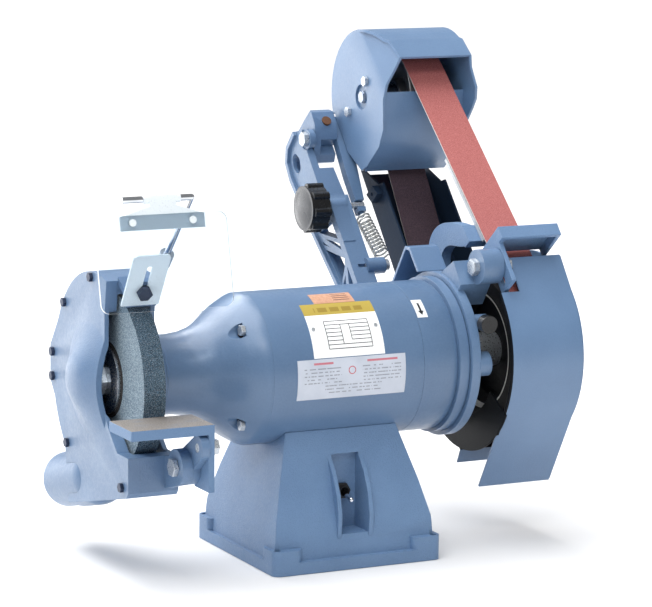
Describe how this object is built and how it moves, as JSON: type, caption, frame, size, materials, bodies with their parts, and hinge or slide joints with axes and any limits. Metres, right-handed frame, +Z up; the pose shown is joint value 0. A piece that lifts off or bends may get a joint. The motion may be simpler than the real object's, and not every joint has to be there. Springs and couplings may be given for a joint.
{
  "type": "bench belt grinder",
  "caption": "Bench motor on a pedestal: a guarded grinding wheel on one end and a leaning, tracking abrasive-belt head with contact wheel, platen and work table on the other.",
  "frame": {"origin": "centre of the four bolt holes, on the underside of the pedestal", "axes": "+X along the motor shaft from the grinding wheel to the belt head, +Y to the back, +Z up"},
  "size_m": [0.615, 0.5114, 0.5729],
  "materials": {
    "blue_enamel": "semi-gloss blue-grey enamel",
    "blue_casting": "pebbled blue-grey enamel on a casting",
    "zinc": "zinc-plated sheet and screws",
    "steel": "machined steel",
    "bright_rod": "bright plated rod",
    "black_screw": "blackened steel",
    "black_plastic": "moulded black plastic",
    "clear_lens": "clear polycarbonate sheet",
    "wheel_grit": null,
    "belt_grit": "red-brown abrasive cloth",
    "tyre_rubber": "black rubber tyre",
    "cast_aluminium": "plain die-cast aluminium",
    "lamination": "laminated steel",
    "copper_wire": "varnished copper windings",
    "can": "drawn aluminium can",
    "pin_bronze": "brown bronze pin",
    "plate_metal": "printed aluminium plate",
    "label_film": "printed film, no lettering",
    "spring_wire": "spring steel wire"
  },
  "bodies": {
    "stand": {"pedestal": "blue_casting", "base_cover_plate": "zinc", "start_capacitor": "can", "switch_body": "black_plastic", "cord_inlet_bushing": "black_plastic", "motor_frame": "blue_enamel", "end_bell_left": "blue_casting", "end_bell_right": "blue_casting", "stator_core": "lamination", "stator_windings": "copper_wire", "motor_screws": "zinc", "bearing_outer_races": "steel", "swivel_retainer": "steel", "nameplate": "plate_metal", "barrel_labels": "label_film", "wheel_guard_cover": "blue_casting", "wheel_guard_inner": "blue_casting", "guard_screws": "black_screw", "eye_shield_clamp": "black_screw"},
    "spindle": {"motor_shaft": "steel", "bearing_inner_sets": "steel", "rotor_core": "lamination", "cooling_fan": "cast_aluminium", "grinding_wheel": "wheel_grit", "wheel_flanges": "steel", "shaft_nuts": "zinc", "contact_wheel_hub": "cast_aluminium", "contact_wheel_tyre": "tyre_rubber"},
    "head": {"swivel_ring": "blue_casting", "lattice_arm": "blue_casting", "arm_bolts": "zinc", "arm_pivot_bolt": "zinc", "front_guard": "blue_enamel", "belt_side_cover": "blue_enamel", "belt_channel": "blue_enamel", "platen": "steel", "platen_bracket": "blue_casting", "ring_strap": "blue_enamel", "abrasive_belt": "belt_grit", "tension_spring": "spring_wire"},
    "tensioner": {"tension_block": "blue_casting", "tracking_pin": "pin_bronze"},
    "carrier": {"tracking_carrier": "blue_enamel", "idler_hood": "blue_enamel", "hood_bolts": "zinc", "idler_axle": "steel"},
    "idler": {"idler_wheel": "cast_aluminium", "idler_bearings": "steel"},
    "track_knob": {"tracking_knob": "black_plastic"},
    "swing_lock": {"swing_lock_knob": "black_plastic"},
    "table_clamp": {"table_bolt": "zinc"},
    "table": {"work_table": "blue_casting"},
    "toggle": {"switch_lever": "bright_rod"},
    "shield_rod": {"eye_shield_rod": "bright_rod"},
    "shield": {"eye_shield_lens": "clear_lens", "eye_shield_holder": "zinc"},
    "arrestor": {"spark_arrestor": "zinc"},
    "rest_arm": {"tool_rest_arm": "blue_casting", "tool_rest_bolts": "zinc"},
    "rest": {"tool_rest": "blue_casting"}
  },
  "joints": [
    {"name": "shaft_spin", "type": "hinge", "parent": "stand", "child": "spindle", "pos_m": [0, 0, 0.2165], "axis": [1, 0, 0], "continuous": true},
    {"name": "head_swing", "type": "hinge", "parent": "stand", "child": "head", "pos_m": [0, 0, 0.2165], "axis": [1, 0, 0], "range_deg": [-40, 40]},
    {"name": "belt_tension", "type": "hinge", "parent": "head", "child": "tensioner", "pos_m": [0.14, 0.29269, 0.43564], "axis": [1, 0, 0], "range_deg": [0, 6], "stiffness_Nm_per_rad": 60, "springref_deg": -8.59, "deforming": ["tension_spring", "abrasive_belt"]},
    {"name": "tracking_tilt", "type": "hinge", "parent": "tensioner", "child": "carrier", "pos_m": [0.148, 0.30334, 0.44495], "axis": [0, 0.7581, -0.6521], "range_deg": [-1.2, 1.2], "deforming": ["tension_spring", "abrasive_belt"]},
    {"name": "idler_spin", "type": "hinge", "parent": "carrier", "child": "idler", "pos_m": [0.234, 0.23606, 0.49095], "axis": [1, 0, 0], "continuous": true},
    {"name": "tracking_knob_turn", "type": "hinge", "parent": "head", "child": "track_knob", "pos_m": [0.103, 0.22748, 0.35983], "axis": [1, 0, 0], "range_deg": [-540, 540]},
    {"name": "swing_lock_turn", "type": "hinge", "parent": "head", "child": "swing_lock", "pos_m": [0.166, -0.09, 0.264], "axis": [0, -1, 0], "range_deg": [0, 720]},
    {"name": "table_tilt", "type": "hinge", "parent": "head", "child": "table_clamp", "pos_m": [0.2, -0.05774, 0.3242], "axis": [1, 0, 0], "range_deg": [0, 24]},
    {"name": "table_slide", "type": "slide", "parent": "table_clamp", "child": "table", "axis": [0, 0.6521, 0.7581], "range_m": [-0.003, 0.018]},
    {"name": "switch_flip", "type": "hinge", "parent": "stand", "child": "toggle", "pos_m": [0, -0.061, 0.08], "axis": [1, 0, 0], "range_deg": [-27, 0]},
    {"name": "shield_height", "type": "slide", "parent": "stand", "child": "shield_rod", "axis": [0, -0.6802, 0.7331], "range_m": [-0.003, 0.02]},
    {"name": "shield_tilt", "type": "hinge", "parent": "shield_rod", "child": "shield", "pos_m": [-0.247, -0.12, 0.431], "axis": [1, 0, 0], "range_deg": [-95, 8]},
    {"name": "arrestor_slide", "type": "slide", "parent": "stand", "child": "arrestor", "axis": [0, -0.5299, 0.848], "range_m": [-0.004, 0.004]},
    {"name": "rest_swing", "type": "hinge", "parent": "stand", "child": "rest_arm", "pos_m": [-0.22, -0.126, 0.14], "axis": [1, 0, 0], "range_deg": [-3, 10]},
    {"name": "rest_tilt", "type": "hinge", "parent": "rest_arm", "child": "rest", "pos_m": [-0.207, -0.156, 0.166], "axis": [1, 0, 0], "range_deg": [-8, 18]}
  ],
  "couplings": [
    {"joint": "idler_spin", "follows": "shaft_spin", "ratio": 1.917},
    {"joint": "tracking_tilt", "follows": "tracking_knob_turn", "ratio": 0.00175}
  ]
}
